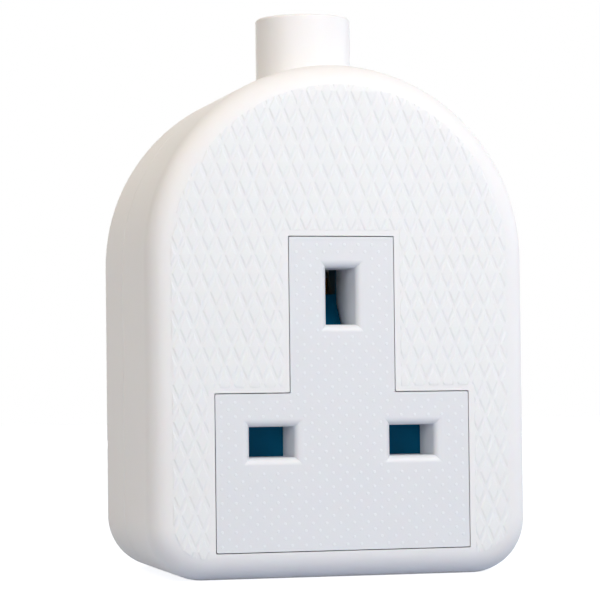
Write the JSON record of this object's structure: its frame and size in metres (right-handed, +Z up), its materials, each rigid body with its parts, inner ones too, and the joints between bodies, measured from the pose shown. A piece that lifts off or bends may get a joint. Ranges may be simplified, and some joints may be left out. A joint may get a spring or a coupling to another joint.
{
  "type": "trailing socket",
  "caption": "Rewirable trailing socket for flat three-pin plugs, with an arched two-part shell, inverted-T face insert, sprung safety shutter and cable neck.",
  "frame": {"origin": "centre of the bounding box's base, so the part stands on its flat bottom edge", "axes": "+Z up to the cable neck, -Y out of the plug face, +X to the right seen from the front"},
  "size_m": [0.06, 0.042, 0.0887],
  "materials": {
    "casing": "white moulded plastic, front panel covered in fine raised diamonds",
    "face": "hard white plastic, very finely speckled",
    "shutter": "smooth dark blue-green plastic",
    "carrier": "plain off-white moulding",
    "brass": "plain rolled and machined",
    "steel": "zinc plated"
  },
  "bodies": {
    "housing": {"front_casing": "casing", "rear_cover": "casing", "socket_face": "face", "shutter_spring": "steel", "contact_carrier": "carrier", "line_contact": "brass", "neutral_contact": "brass", "earth_contact": "brass", "line_terminal": "brass", "neutral_terminal": "brass", "earth_terminal": "brass", "line_terminal_screw": "steel", "neutral_terminal_screw": "steel", "earth_terminal_screw": "steel", "cord_clamp": "carrier", "cord_clamp_screw_left": "steel", "cord_clamp_screw_right": "steel", "carrier_screw_upper_left": "steel", "carrier_screw_upper_right": "steel", "carrier_screw_lower_left": "steel", "carrier_screw_lower_right": "steel", "cover_screw_lower_left": "steel", "cover_screw_lower_right": "steel", "cover_screw_upper_left": "steel", "cover_screw_upper_right": "steel"},
    "shutter": {"shutter": "shutter"}
  },
  "joints": [
    {"name": "shutter_slide", "type": "slide", "parent": "housing", "child": "shutter", "axis": [0, 0, -1], "range_m": [0, 0.0055], "stiffness_N_per_m": 150, "springref_m": -0.001, "deforming": ["shutter_spring"]}
  ]
}
